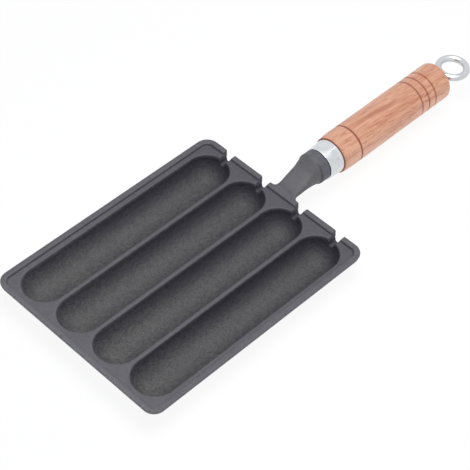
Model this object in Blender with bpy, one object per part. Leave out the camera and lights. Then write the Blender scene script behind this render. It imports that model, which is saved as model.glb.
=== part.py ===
"""Corn dog pan: a cast-iron pan with long half-round troughs on a turned wooden grip.

Metres, +Z up. The origin lies on the surface that the pan stands on, in the middle of its width
and of its whole length. +Y runs from the troughs to the hanging eye, and +X is the right-hand side
seen from the troughs' end.
"""

import math

import bmesh
import bpy

# Troughs of the casting
TROUGH_COUNT = 4
TROUGH_WIDTH = 0.0320
TROUGH_LENGTH = 0.1848
TROUGH_DEPTH = 0.0160
WEB_WIDTH = 0.0036
SHELL_WALL = 0.0030
TROUGH_EDGE_ROUND = 0.0010
FOOT_CUT = 0.0004

# Plate and raised rim of the casting
PLATE_THICKNESS = 0.0025
SIDE_MARGIN = 0.0083
FRONT_MARGIN = 0.0084
BACK_MARGIN = 0.0084
CORNER_RADIUS = 0.0100
RIM_HEIGHT = 0.0021
RIM_WIDTH = 0.0045
RIM_EDGE_ROUND = 0.0005
RIM_INNER_DRAFT = 0.0005
PLATE_DRAFT = 0.0010
PLATE_EDGE_ROUND = 0.0010

# Stick notches through the rim at the handle's side
NOTCH_DEPTH = 0.0074
NOTCH_FLOOR_RADIUS = 0.0020
NOTCH_FLANK_ANGLE = math.radians(20)
CHANNEL_WALL = 0.0025

# Neck of the casting, which ends in a round collar and a short spigot
HANDLE_RISE = 0.0054
NECK_LENGTH = 0.0261
COLLAR_LENGTH = 0.0084
COLLAR_RADIUS = 0.0122
COLLAR_RISE = 0.0007
COLLAR_FRONT_ROUND = 0.0008
COLLAR_REAR_ROUND = 0.0003
SPIGOT_LENGTH = 0.0030
SPIGOT_RADIUS = 0.0105
ROD_HOLE_DEPTH = 0.0240

# Ferrule
FERRULE_LENGTH = 0.0133
FERRULE_FRONT_RADIUS = 0.0127
FERRULE_REAR_RADIUS = 0.0135
FERRULE_WALL = 0.0012
FERRULE_EDGE_ROUND = 0.0003

# Wooden grip
GRIP_LENGTH = 0.1177
GRIP_RADIUS = 0.0151
GRIP_FRONT_RADIUS = 0.0145
GRIP_TAPER_LENGTH = 0.0120
GRIP_FRONT_ROUND = 0.0006
GRIP_REAR_ROUND = 0.0027
FRONT_GROOVE_PLACE = 0.0174
REAR_GROOVE_COUNT = 3
REAR_GROOVE_PLACE = 0.0177
REAR_GROOVE_PITCH = 0.0075
GROOVE_WIDTH = 0.0012
GROOVE_DEPTH = 0.0007

# Rod with its hanging eye
ROD_DIAMETER = 0.0054
ROD_TIP_CHAMFER = 0.0008
ROD_TIP_GAP = 0.0010
EYE_RADIUS = 0.01085
EYE_STANDOFF = 0.0058

# Gaps between pieces, how far a cutter reaches past what it cuts, and the distance under which
# two points become one
CLEARANCE = 0.0003
OVERRUN = 0.0040
WELD = 0.00001

# Counts of facets
TROUGH_END_STEPS = 14
TROUGH_WALL_STEPS = 9
ROUND_STEPS = 3
CORNER_STEPS = 8
NOTCH_STEPS = 8
NECK_STEPS = 40
TURNED_STEPS = 48
GROOVE_STEPS = 4
TAPER_STEPS = 5
EYE_STEPS = 48
ROD_STEPS = 16
SMOOTH_ANGLE = math.radians(35)

# The neck's sections: share of the neck's length, of the collar's radius as half width, of the
# height from the rim's top to the collar's top, of the drop from the plate's underside to the
# collar's lowest line, and the power of the outline, where 2 is an ellipse
NECK_SECTION_SHARES = (
    (-0.100, 1.10, -0.012, -0.30, 8.0),
    (-0.036, 1.06, -0.003, -0.30, 8.0),
    (0.000, 0.92, 0.005, -0.33, 7.0),
    (0.041, 0.79, 0.035, -0.42, 6.0),
    (0.128, 0.715, 0.115, -0.53, 4.5),
    (0.282, 0.735, 0.230, -0.51, 3.6),
    (0.436, 0.760, 0.350, -0.50, 3.0),
    (0.590, 0.785, 0.475, -0.35, 2.7),
    (0.739, 0.810, 0.620, -0.05, 2.5),
    (0.888, 0.865, 0.830, 0.29, 2.35),
    (1.000, 0.905, 0.985, 0.64, 2.15),
    (1.124, 0.905, 0.985, 0.75, 2.15),
)

# Sizes that follow from those above
trough_pitch = TROUGH_WIDTH + WEB_WIDTH
pan_half_width = ((TROUGH_COUNT - 1) * trough_pitch + TROUGH_WIDTH) / 2 + SIDE_MARGIN
pan_length = FRONT_MARGIN + TROUGH_LENGTH + BACK_MARGIN
rod_radius = ROD_DIAMETER / 2
eye_reach = EYE_RADIUS + rod_radius
handle_length = NECK_LENGTH + COLLAR_LENGTH + FERRULE_LENGTH + GRIP_LENGTH
overall_length = pan_length + handle_length + EYE_STANDOFF + 2 * eye_reach

# Heights and places along the handle in the whole part's frame
land_z = TROUGH_DEPTH + SHELL_WALL - FOOT_CUT
rim_z = land_z + RIM_HEIGHT
plate_z = land_z - PLATE_THICKNESS
handle_z = land_z + HANDLE_RISE
front_y = -overall_length / 2
back_y = front_y + pan_length
pan_y = (front_y + back_y) / 2
trough_y = front_y + FRONT_MARGIN + TROUGH_LENGTH / 2
collar_y = back_y + NECK_LENGTH
ferrule_y = collar_y + COLLAR_LENGTH
grip_y = ferrule_y + FERRULE_LENGTH
grip_end_y = grip_y + GRIP_LENGTH
eye_y = grip_end_y + EYE_STANDOFF + eye_reach


def clear_scene():
    for thing in list(bpy.data.objects):
        bpy.data.objects.remove(thing, do_unlink=True)


def make_material(name, colour, roughness, metallic):
    material = bpy.data.materials.new(name)
    material.use_nodes = True
    shader = material.node_tree.nodes["Principled BSDF"]
    shader.inputs["Base Color"].default_value = (*colour, 1.0)
    shader.inputs["Roughness"].default_value = roughness
    shader.inputs["Metallic"].default_value = metallic
    material.diffuse_color = (*colour, 1.0)
    return material


def add_object(name, bm, material=None):
    """An object of this mesh, smooth but for its sharp edges. One with no material is a helper."""
    bmesh.ops.recalc_face_normals(bm, faces=bm.faces)
    mesh = bpy.data.meshes.new(name)
    bm.to_mesh(mesh)
    bm.free()
    mesh.shade_smooth()
    mesh.set_sharp_from_angle(angle=SMOOTH_ANGLE)
    thing = bpy.data.objects.new(name, mesh)
    bpy.context.scene.collection.objects.link(thing)
    if material:
        mesh.materials.append(material)
    else:
        thing.hide_render = True
        thing.display_type = "WIRE"
    return thing


def combine(target, other, operation):
    modifier = target.modifiers.new(other.name, "BOOLEAN")
    modifier.operation = operation
    modifier.solver = "EXACT"
    modifier.object = other


def loft(loops):
    """A closed mesh through loops with as many points each. A loop may close to a line or a point."""
    bm = bmesh.new()
    rings = [[bm.verts.new(point) for point in loop] for loop in loops]
    for lower, upper in zip(rings, rings[1:]):
        for i in range(len(lower)):
            j = (i + 1) % len(lower)
            bm.faces.new((lower[i], lower[j], upper[j], upper[i]))
    bm.faces.new(reversed(rings[0]))
    bm.faces.new(rings[-1])
    bmesh.ops.remove_doubles(bm, verts=bm.verts, dist=WELD)
    bmesh.ops.dissolve_degenerate(bm, edges=bm.edges, dist=WELD)
    return bm


def turned(name, profile, steps, material):
    """A solid of revolution about the handle's axis. A profile point is a radius and a place on +Y."""
    bm = bmesh.new()
    points = [bm.verts.new((radius, 0, place)) for radius, place in profile]
    for start, end in zip(points, points[1:] + points[:1]):
        bm.edges.new((start, end))
    mesh = bpy.data.meshes.new(name)
    bm.to_mesh(mesh)
    bm.free()
    thing = bpy.data.objects.new(name, mesh)
    bpy.context.scene.collection.objects.link(thing)
    mesh.materials.append(material)
    thing.location = (0, 0, handle_z)
    thing.rotation_euler = (-math.pi / 2, 0, 0)
    screw = thing.modifiers.new("turn", "SCREW")
    screw.steps = steps
    screw.render_steps = steps
    screw.use_smooth_shade = True
    screw.use_merge_vertices = True
    screw.merge_threshold = WELD
    return thing


def arc(centre, radius, start, end, steps):
    """Points on an arc in the plane of a profile, from one angle to another in degrees."""
    angles = [math.radians(start + (end - start) * i / steps) for i in range(steps + 1)]
    return [(centre[0] + radius * math.cos(a), centre[1] + radius * math.sin(a)) for a in angles]


def stadium(half_width, half_span, x, z):
    """An outline at one height: two half-circles joined by straight sides along Y."""
    points = []
    for side in (1, -1):
        for i in range(TROUGH_END_STEPS + 1):
            angle = math.pi * i / TROUGH_END_STEPS
            across = side * half_width * math.cos(angle)
            along = side * (half_span + half_width * math.sin(angle))
            points.append((x + across, trough_y + along, z))
    return points


def rounded_rectangle(inset, z):
    """The plate's outline at one height, drawn in by an inset from its widest line."""
    radius = CORNER_RADIUS - inset
    half_x = pan_half_width - inset - radius
    half_y = pan_length / 2 - inset - radius
    points = []
    for quarter, (side_x, side_y) in enumerate(((1, 1), (-1, 1), (-1, -1), (1, -1))):
        for i in range(CORNER_STEPS + 1):
            angle = math.pi / 2 * (quarter + i / CORNER_STEPS)
            x = side_x * half_x + radius * math.cos(angle)
            y = side_y * half_y + radius * math.sin(angle)
            points.append((x, pan_y + y, z))
    return points


def trough_places():
    middle = (TROUGH_COUNT - 1) / 2
    return [(i - middle) * trough_pitch for i in range(TROUGH_COUNT)]


def plate_blank():
    """The plate and its rim as one block: rounded lower edge, drafted wall, rounded upper edge."""
    lower = (PLATE_DRAFT + PLATE_EDGE_ROUND, plate_z + PLATE_EDGE_ROUND)
    upper = (RIM_EDGE_ROUND, rim_z - RIM_EDGE_ROUND)
    section = arc(lower, PLATE_EDGE_ROUND, 270, 180, ROUND_STEPS)
    section += arc(upper, RIM_EDGE_ROUND, 180, 90, ROUND_STEPS)
    return loft([rounded_rectangle(inset, z) for inset, z in section])


def pocket():
    """What is cut from the block to leave the rim standing above the land round the troughs."""
    inner = RIM_WIDTH - RIM_EDGE_ROUND
    section = [(RIM_WIDTH + RIM_INNER_DRAFT, land_z)]
    section += arc((inner, rim_z - RIM_EDGE_ROUND), RIM_EDGE_ROUND, 0, 90, ROUND_STEPS)
    section.append((inner, rim_z + OVERRUN))
    return loft([rounded_rectangle(inset, z) for inset, z in section])


def trough_bulge(x):
    """The outside of one trough, below the plate. It closes to a line under the trough's middle."""
    half_span = (TROUGH_LENGTH - TROUGH_WIDTH) / 2
    half_width = TROUGH_WIDTH / 2 + SHELL_WALL
    depth = TROUGH_DEPTH + SHELL_WALL
    loops = [stadium(half_width, half_span, x, land_z - PLATE_THICKNESS / 2)]
    first = math.asin(PLATE_THICKNESS / depth)
    for i in range(TROUGH_WALL_STEPS + 1):
        angle = first + (math.pi / 2 - first) * i / TROUGH_WALL_STEPS
        loops.append(stadium(half_width * math.cos(angle), half_span, x, land_z - depth * math.sin(angle)))
    return loft(loops)


def trough_hollow(x):
    """The inside of one trough, with the rounded edge where it meets the land."""
    half_span = (TROUGH_LENGTH - TROUGH_WIDTH) / 2
    half_width = TROUGH_WIDTH / 2
    mouth = half_width + TROUGH_EDGE_ROUND
    loops = [stadium(mouth, half_span, x, rim_z + OVERRUN)]
    for radius, drop in arc((mouth, -TROUGH_EDGE_ROUND), TROUGH_EDGE_ROUND, 90, 180, ROUND_STEPS):
        loops.append(stadium(radius, half_span, x, land_z + drop))
    first = math.asin(TROUGH_EDGE_ROUND / TROUGH_DEPTH)
    for i in range(1, TROUGH_WALL_STEPS + 1):
        angle = first + (math.pi / 2 - first) * i / TROUGH_WALL_STEPS
        radius = half_width * math.cos(angle)
        loops.append(stadium(radius, half_span, x, land_z - TROUGH_DEPTH * math.sin(angle)))
    return loft(loops)


def notch_outline(x, offset, top_z, lean, y):
    """A round-bottomed V up to a height. lean moves each point back as it gets lower."""
    centre_z = rim_z - NOTCH_DEPTH + NOTCH_FLOOR_RADIUS
    radius = NOTCH_FLOOR_RADIUS + offset
    tangent_z = centre_z - radius * math.sin(NOTCH_FLANK_ANGLE)
    top_x = radius * math.cos(NOTCH_FLANK_ANGLE) + (top_z - tangent_z) * math.tan(NOTCH_FLANK_ANGLE)
    flank = math.degrees(NOTCH_FLANK_ANGLE)
    outline = [(-top_x, top_z), *arc((0, centre_z), radius, 180 + flank, 360 - flank, NOTCH_STEPS)]
    outline.append((top_x, top_z))
    return [(x + across, y - lean * (rim_z - z), z) for across, z in outline]


def stick_channel(x):
    """The boss under the plate that carries one stick notch from its trough to the back edge."""
    top_z = land_z - PLATE_THICKNESS / 2
    lean = PLATE_DRAFT / (PLATE_THICKNESS + RIM_HEIGHT)
    start = back_y - BACK_MARGIN - TROUGH_WIDTH / 4
    return loft(
        [
            notch_outline(x, CHANNEL_WALL, top_z, 0, start),
            notch_outline(x, CHANNEL_WALL, top_z, lean, back_y - RIM_EDGE_ROUND),
        ]
    )


def stick_notch(x):
    start = back_y - BACK_MARGIN - TROUGH_WIDTH / 4
    return loft(
        [
            notch_outline(x, 0, rim_z + OVERRUN, 0, start),
            notch_outline(x, 0, rim_z + OVERRUN, 0, back_y + OVERRUN),
        ]
    )


def neck_section(y, half_width, top, bottom, power):
    """A rounded outline across the handle, as an ellipse raised to a power."""
    middle = (top + bottom) / 2
    half_height = (top - bottom) / 2
    points = []
    for i in range(NECK_STEPS):
        angle = 2 * math.pi * (i + 0.5) / NECK_STEPS
        cosine, sine = math.cos(angle), math.sin(angle)
        across = math.copysign(abs(cosine) ** (2 / power), cosine) * half_width
        up = math.copysign(abs(sine) ** (2 / power), sine) * half_height
        points.append((across, y, middle + up))
    return points


def round_section(y, radius, rise):
    return neck_section(y, radius, handle_z + rise + radius, handle_z + rise - radius, 2.0)


def neck():
    """The arm from the rim into the collar: flat on top at the rim, and nearly round at the collar."""
    top_rise = handle_z + COLLAR_RISE + COLLAR_RADIUS - rim_z
    bottom_drop = plate_z - (handle_z + COLLAR_RISE - COLLAR_RADIUS)
    loops = []
    for along, width, rise, drop, power in NECK_SECTION_SHARES:
        top = rim_z + rise * top_rise
        bottom = plate_z - drop * bottom_drop
        loops.append(neck_section(back_y + along * NECK_LENGTH, width * COLLAR_RADIUS, top, bottom, power))
    return loft(loops)


def collar():
    """The round collar, which stands a little proud of the arm, and the spigot inside the ferrule."""
    front = (collar_y + COLLAR_FRONT_ROUND, COLLAR_RADIUS - COLLAR_FRONT_ROUND)
    rear = (ferrule_y - COLLAR_REAR_ROUND, COLLAR_RADIUS - COLLAR_REAR_ROUND)
    front_section = arc(front, COLLAR_FRONT_ROUND, 180, 90, ROUND_STEPS)
    rear_section = arc(rear, COLLAR_REAR_ROUND, 90, 0, ROUND_STEPS)
    loops = [round_section(y, radius, COLLAR_RISE) for y, radius in front_section]
    loops += [round_section(y, radius, COLLAR_RISE / 2) for y, radius in rear_section]
    loops.append(round_section(ferrule_y, SPIGOT_RADIUS, 0))
    loops.append(round_section(ferrule_y + SPIGOT_LENGTH, SPIGOT_RADIUS, 0))
    return loft(loops)


def rod_hole():
    """The blind hole in the spigot and neck that takes the rod's end."""
    radius = rod_radius + CLEARANCE
    start = ferrule_y + SPIGOT_LENGTH + OVERRUN
    end = ferrule_y + SPIGOT_LENGTH - ROD_HOLE_DEPTH
    return loft([round_section(start, radius, 0), round_section(end, radius, 0)])


def foot_plane():
    """A block under the part. Its top grinds a narrow flat foot on each trough's underside."""
    depth = TROUGH_DEPTH + SHELL_WALL
    half_x, half_y = pan_half_width, pan_length / 2
    corners = ((-half_x, -half_y), (half_x, -half_y), (half_x, half_y), (-half_x, half_y))
    return loft([[(x, pan_y + y, z) for x, y in corners] for z in (-depth, 0)])


def make_pan(material):
    pan = add_object("pan_casting", plate_blank(), material)
    for i, x in enumerate(trough_places(), 1):
        combine(pan, add_object(f"trough_bulge_{i}", trough_bulge(x)), "UNION")
        combine(pan, add_object(f"stick_channel_{i}", stick_channel(x)), "UNION")
    combine(pan, add_object("neck", neck()), "UNION")
    combine(pan, add_object("collar", collar()), "UNION")
    combine(pan, add_object("pocket", pocket()), "DIFFERENCE")
    for i, x in enumerate(trough_places(), 1):
        combine(pan, add_object(f"trough_hollow_{i}", trough_hollow(x)), "DIFFERENCE")
        combine(pan, add_object(f"stick_notch_{i}", stick_notch(x)), "DIFFERENCE")
    combine(pan, add_object("foot_plane", foot_plane()), "DIFFERENCE")
    combine(pan, add_object("rod_hole", rod_hole()), "DIFFERENCE")
    return pan


def make_ferrule(material):
    """A tapered sleeve that butts on the collar and covers the spigot and the grip's tenon."""
    start = ferrule_y + CLEARANCE
    end = grip_y - CLEARANCE
    edge = FERRULE_EDGE_ROUND
    front_inner = FERRULE_FRONT_RADIUS - FERRULE_WALL
    rear_inner = FERRULE_REAR_RADIUS - FERRULE_WALL
    profile = [(rear_inner, end), (FERRULE_REAR_RADIUS, end)]
    profile += arc((FERRULE_FRONT_RADIUS - edge, start + edge), edge, 0, -90, ROUND_STEPS)
    profile.append((front_inner, start))
    return turned("ferrule", profile, TURNED_STEPS, material)


def grip_radius(along):
    """The grip's radius at a distance from its front: a short swelling taper, then straight."""
    share = max(0, 1 - along / GRIP_TAPER_LENGTH)
    return GRIP_RADIUS - (GRIP_RADIUS - GRIP_FRONT_RADIUS) * share**2


def groove(place):
    """A shallow turned groove, from its rear edge to its front edge."""
    points = []
    for i in range(GROOVE_STEPS + 1):
        share = i / GROOVE_STEPS
        depth = GROOVE_DEPTH * math.sin(math.pi * share)
        along = place + GROOVE_WIDTH * (0.5 - share)
        points.append((grip_radius(along) - depth, grip_y + along))
    return points


def groove_places():
    rear = [GRIP_LENGTH - REAR_GROOVE_PLACE - i * REAR_GROOVE_PITCH for i in range(REAR_GROOVE_COUNT)]
    return rear + [FRONT_GROOVE_PLACE]


def make_grip(material):
    """The bored wooden grip: rounded ends, turned grooves, and a tenon inside the ferrule."""
    bore = rod_radius + CLEARANCE
    tenon_y = ferrule_y + SPIGOT_LENGTH + CLEARANCE
    inner_clearance = FERRULE_WALL + CLEARANCE
    tenon_front = FERRULE_FRONT_RADIUS - inner_clearance
    tenon_rear = FERRULE_REAR_RADIUS - inner_clearance
    rear_centre = (GRIP_RADIUS - GRIP_REAR_ROUND, grip_end_y - GRIP_REAR_ROUND)
    front_centre = (GRIP_FRONT_RADIUS - GRIP_FRONT_ROUND, grip_y + GRIP_FRONT_ROUND)
    profile = [(bore, grip_end_y)]
    profile += arc(rear_centre, GRIP_REAR_ROUND, 90, 0, 2 * ROUND_STEPS)
    for place in groove_places():
        profile += groove(place)
    for i in range(TAPER_STEPS):
        along = GRIP_TAPER_LENGTH * (1 - i / TAPER_STEPS)
        profile.append((grip_radius(along), grip_y + along))
    profile += arc(front_centre, GRIP_FRONT_ROUND, 0, -90, ROUND_STEPS)
    profile += [(tenon_rear, grip_y), (tenon_front, tenon_y), (bore, tenon_y)]
    return turned("handle_grip", profile, TURNED_STEPS, material)


def make_eye_rod(material):
    """One steel piece: the rod through the grip, and the closed eye that the pan hangs on."""
    bm = bmesh.new()
    circle = bmesh.ops.create_circle(bm, segments=ROD_STEPS, radius=rod_radius)["verts"]
    for vertex in circle:
        vertex.co = (EYE_RADIUS + vertex.co.x, 0, vertex.co.y)
    edges = list(bm.edges)
    bmesh.ops.spin(bm, geom=edges, cent=(0, 0, 0), axis=(0, 0, 1), angle=2 * math.pi, steps=EYE_STEPS)
    bmesh.ops.remove_doubles(bm, verts=bm.verts, dist=WELD)
    bmesh.ops.translate(bm, verts=bm.verts, vec=(0, eye_y, handle_z))
    eye_rod = add_object("eye_rod", bm, material)
    tip_y = ferrule_y + SPIGOT_LENGTH - ROD_HOLE_DEPTH + ROD_TIP_GAP
    tip_radius = rod_radius - ROD_TIP_CHAMFER
    shank = loft(
        [
            round_section(tip_y, tip_radius, 0),
            round_section(tip_y + ROD_TIP_CHAMFER, rod_radius, 0),
            round_section(eye_y - EYE_RADIUS, rod_radius, 0),
        ]
    )
    combine(eye_rod, add_object("shank", shank), "UNION")
    return eye_rod


def main():
    clear_scene()
    iron = make_material("cast_iron", (0.115, 0.115, 0.120), 0.65, 0.6)
    tin = make_material("ferrule_metal", (0.66, 0.68, 0.70), 0.30, 1.0)
    wood = make_material("wood", (0.62, 0.33, 0.19), 0.50, 0.0)
    steel = make_material("steel", (0.62, 0.63, 0.65), 0.20, 1.0)
    make_pan(iron)
    make_ferrule(tin)
    make_grip(wood)
    make_eye_rod(steel)


main()
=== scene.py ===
"""Corn dog pan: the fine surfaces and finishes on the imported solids, a plain studio and the camera.

Metres, +Z up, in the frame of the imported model. What the model's boxes give is read from them, and
the other sizes are named below with the values that the model was made from.
"""

import math

import bmesh
import bpy
import numpy as np
from mathutils import Matrix, Vector


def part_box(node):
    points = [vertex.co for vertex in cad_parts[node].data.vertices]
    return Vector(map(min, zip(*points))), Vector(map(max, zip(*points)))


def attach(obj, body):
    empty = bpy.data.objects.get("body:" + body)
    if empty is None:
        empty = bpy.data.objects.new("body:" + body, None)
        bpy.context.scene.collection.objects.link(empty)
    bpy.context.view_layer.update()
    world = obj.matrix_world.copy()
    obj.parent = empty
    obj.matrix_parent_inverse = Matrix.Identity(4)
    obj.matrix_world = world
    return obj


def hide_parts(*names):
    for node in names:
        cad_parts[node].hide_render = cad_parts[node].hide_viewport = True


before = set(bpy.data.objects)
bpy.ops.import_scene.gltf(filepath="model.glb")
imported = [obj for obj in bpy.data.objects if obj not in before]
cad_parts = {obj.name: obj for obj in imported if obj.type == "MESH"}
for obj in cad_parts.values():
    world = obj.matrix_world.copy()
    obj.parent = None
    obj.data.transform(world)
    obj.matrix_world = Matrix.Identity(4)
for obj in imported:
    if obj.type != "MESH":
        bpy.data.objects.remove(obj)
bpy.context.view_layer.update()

# Casting: troughs, plate, rim and stick notches
TROUGH_COUNT = 4
TROUGH_WIDTH = 0.0320
TROUGH_LENGTH = 0.1848
TROUGH_DEPTH = 0.0160
WEB_WIDTH = 0.0036
SHELL_WALL = 0.0030
TROUGH_EDGE_ROUND = 0.0010
FOOT_CUT = 0.0004
PLATE_THICKNESS = 0.0025
FRONT_MARGIN = 0.0084
BACK_MARGIN = 0.0084
CORNER_RADIUS = 0.0100
RIM_HEIGHT = 0.0021
RIM_WIDTH = 0.0045
RIM_EDGE_ROUND = 0.0005
RIM_INNER_DRAFT = 0.0005
PLATE_DRAFT = 0.0010
PLATE_EDGE_ROUND = 0.0010
NOTCH_DEPTH = 0.0074
NOTCH_FLOOR_RADIUS = 0.0020
NOTCH_FLANK_ANGLE = math.radians(20)
CHANNEL_WALL = 0.0025

# Casting: neck, collar and spigot
NECK_LENGTH = 0.0261
COLLAR_RADIUS = 0.0122
COLLAR_RISE = 0.0007
COLLAR_FRONT_ROUND = 0.0008
COLLAR_REAR_ROUND = 0.0003
SPIGOT_LENGTH = 0.0030
SPIGOT_RADIUS = 0.0105
ROD_HOLE_DEPTH = 0.0240

# Ferrule and grip
FERRULE_FRONT_RADIUS = 0.0127
FERRULE_WALL = 0.0012
FERRULE_EDGE_ROUND = 0.0003
GRIP_FRONT_RADIUS = 0.0145
GRIP_TAPER_LENGTH = 0.0120
GRIP_FRONT_ROUND = 0.0006
GRIP_REAR_ROUND = 0.0027
FRONT_GROOVE_PLACE = 0.0174
REAR_GROOVE_COUNT = 3
REAR_GROOVE_PLACE = 0.0177
REAR_GROOVE_PITCH = 0.0075
GROOVE_WIDTH = 0.0012
GROOVE_DEPTH = 0.0007
GROOVE_FULLNESS = 0.8

# Rod and eye
ROD_TIP_CHAMFER = 0.0008
EYE_FILLET = 0.0016
EYE_FILLET_END = 110

# Gaps between pieces, reach of cutters, and the distance under which points are one
CLEARANCE = 0.0003
OVERRUN = 0.0040
WELD = 0.00001

# Surface of the casting: grid of the remesh, its softening and unevenness, and most triangles
GRID_SIZE = 0.0004
EDGE_SOFTENING_ROUNDS = 3
VALLEY_SOFTENING_ROUNDS = 40
SOFTENING = 0.5
SOFTENING_FADE = 0.0003
EDGE_BLUR_ROUNDS = 2
WAVE_SIZE = 0.0180
WAVE_DEPTH = 0.00006
WAVE_SEED = 3
GRAIN_SIZE = 0.0024
GRAIN_DEPTH = 0.00003
GRAIN_SEED = 5
CASTING_TRIANGLES = 190000

# An uneven field: how many waves it sums, the least and greatest scale, and the height cut to 1
FIELD_WAVES = 24
FIELD_SCALES = (0.6, 1.6)
FIELD_PEAK = 9

# Counts of facets
END_STEPS = 40
WALL_STEPS = 28
ROUND_STEPS = 6
CORNER_STEPS = 20
NOTCH_STEPS = 20
NECK_STEPS = 88
NECK_ROWS_BETWEEN = 6
TURNED_STEPS = 160
TAPER_STEPS = 12
GROOVE_STEPS = 10
EYE_STEPS = 128
ROD_STEPS = 48
SMOOTH_ANGLE = math.radians(35)

# The neck's sections, as in the solids: share of the neck's length, of the collar's radius as half
# width, of the height from the rim to the collar's top, of the drop from the plate's underside to
# the collar's lowest line, and the power of the outline
NECK_SECTION_SHARES = (
    (-0.100, 1.10, -0.012, -0.30, 8.0),
    (-0.036, 1.06, -0.003, -0.30, 8.0),
    (0.000, 0.92, 0.005, -0.33, 7.0),
    (0.041, 0.79, 0.035, -0.42, 6.0),
    (0.128, 0.715, 0.115, -0.53, 4.5),
    (0.282, 0.735, 0.230, -0.51, 3.6),
    (0.436, 0.760, 0.350, -0.50, 3.0),
    (0.590, 0.785, 0.475, -0.35, 2.7),
    (0.739, 0.810, 0.620, -0.05, 2.5),
    (0.888, 0.865, 0.830, 0.29, 2.35),
    (1.000, 0.905, 0.985, 0.64, 2.15),
    (1.124, 0.905, 0.985, 0.75, 2.15),
)

# Looks are given in a few forms. A colour is red, green and blue in linear light, and a 1. A pattern
# is noise: scale per metre, detail, roughness and distortion. A range is two values of a pattern or
# mask and what they turn into, which is 0 and 1 where nothing else follows. A bump is its depth and
# strength. A layer over a base colour is the name of its pattern, its range and its colour.
WHITE = (1, 1, 1, 1)
HAZE_RANGE = (0.3, 0.7)

# Looks of the casting: how far from the land, the rim's top, the plate's edge, the collar's front or
# the middle line each finish and each painted shade starts and ends
SAND_FADE_START = 0.0026
SAND_FADE_END = 0.0010
RIM_FADE_START = 0.0010
RIM_FADE_END = 0.0004
NECK_FADE = 0.0060
COLLAR_FADE = 0.0012
CREASE_PLACE = 0.0002
CREASE_CORE = 0.0002
CREASE_REACH = 0.0011
CREASE_SIDE_START = 0.0030
CREASE_SIDE_END = 0.0090
# No painted wall shade within this distance of the plate's front edge
UNSHADED_FRONT = 0.0200
# Painted bluish shade on the troughs' walls grows from the first share of their depth up to the second
PAINTED_WALL_BLUE_SHARES = (0.80, 0.30)
# Painted shade on the troughs' walls grows from the first share of their depth up to the second
PAINTED_WALL_SHADE_SHARES = (0.97, 0.55)

# Looks of the casting: patterns, ranges and colours
IRON_PATTERNS = {
    "sand": (1050, 5, 0.62),
    "clumps": (330, 4, 0.55),
    "blotches": (130, 4, 0.6),
    "clouds": (38, 3),
}
SAND_SHARE = 0.66
SPECKLE_RANGE = (0.42, 0.58)
TROUGH_COLOURS = ((0.037, 0.037, 0.043, 1), (0.124, 0.123, 0.113, 1))
# Painted shade: the bluish tint that the troughs' walls take
PAINTED_WALL_BLUE = (0.95, 0.95, 1.15, 1)
LAND_RANGE = (0.36, 0.64)
LAND_COLOURS = ((0.093, 0.093, 0.107, 1), (0.125, 0.124, 0.137, 1))
IRON_LAYERS = (
    ("blotches", (0.42, 0.66, 0.0, 0.24), (0.052, 0.052, 0.060, 1)),
    ("clouds", (0.3, 0.7, 0.0, 0.18), (0.065, 0.065, 0.072, 1)),
)
NECK_STRENGTH = 0.75
NECK_COLOURS = ((0.116, 0.116, 0.122, 1), (0.160, 0.159, 0.164, 1))
COLLAR_STRENGTH = 0.34
COLLAR_MOTTLE_RANGE = (0.40, 0.60, 0.4, 1.7)
COLLAR_COLOUR = (0.070, 0.068, 0.104, 1)
# Painted shade in the crease in front of the collar: its strength on top and at the sides, and its colour
CREASE_TOP = 0.28
CREASE_SIDE = 0.60
CREASE_SHADE_COLOUR = (0.030, 0.029, 0.038, 1)
# Painted shade on the troughs' walls, a darkening towards the handle, how little of it the rim takes, and
# the colour of both
PAINTED_WALL_SHADE = 0.50
REAR_DARKENING = 0.41
RIM_DARKENING_SHARE = 0.15
SHADE_AND_DARKENING_COLOUR = (0.028, 0.028, 0.039, 1)
# Paler specks on the rim, more towards the front edge
FRONT_PALE_LEAST = 0.02
FRONT_PALE_MOST = 0.52
FRONT_SPECK_RANGE = (0.42, 0.60, 0.3, 1.9)
FRONT_PALE_COLOUR = (0.20, 0.20, 0.215, 1)
# Lighter edges: wear and painted highlight
EDGE_WEAR_AND_HIGHLIGHT_RANGE = (0.52, 0.72, 0.0, 0.45)
EDGE_WEAR_AND_HIGHLIGHT_COLOUR = (0.20, 0.20, 0.21, 1)
# Darker hollows: grime and painted shade
GRIME_AND_SHADE_RANGE = (0.47, 0.35, 0.0, 0.9)
GRIME_AND_SHADE_COLOUR = (0.022, 0.022, 0.026, 1)
TROUGH_ROUGHNESS = 0.58
LAND_ROUGHNESS = 0.60
IRON_ROUGHNESS_RANGE = (0.3, 0.7, -0.05, 0.05)
CLUMP_HEIGHT_SHARE = 1.4
LAND_GRAIN_SHARE = 0.45
IRON_BUMP = (0.00050, 0.8)

# Looks of the grip: its grain leans and is shifted, and a pattern's first value here is its scale
# along the grip against the scale across
WOOD_LEAN = (0.04, 0.0, 0.075)
WOOD_SHIFT = (0.004, 0.0, 0.008)
WOOD_PATTERNS = {
    "figure": (0.045, 270, 5, 0.66, 0.35),
    "fibres": (0.045, 1150, 5, 0.68, 0.2),
    "pores": (0.06, 1600, 3, 0.5),
    "clouds": (1, 45, 3, 0.5),
}
WOOD_COLOUR = (0.575, 0.200, 0.114, 1)
WOOD_LAYERS = (
    ("figure", (0.37, 0.59, 0.0, 1.0), (0.87, 0.47, 0.298, 1)),
    ("fibres", (0.40, 0.60, 0.0, 0.72), (0.90, 0.535, 0.355, 1)),
    ("clouds", (0.35, 0.7, 0.0, 0.35), (0.70, 0.31, 0.19, 1)),
    ("pores", (0.56, 0.68, 0.0, 0.60), (0.40, 0.100, 0.058, 1)),
)
STREAK_RANGE = (0.35, 0.60, 0.35, 1.0)
STREAK_COLOUR = (0.40, 0.115, 0.062, 1)
SCORCH_COLOUR = (0.33, 0.082, 0.046, 1)
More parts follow.
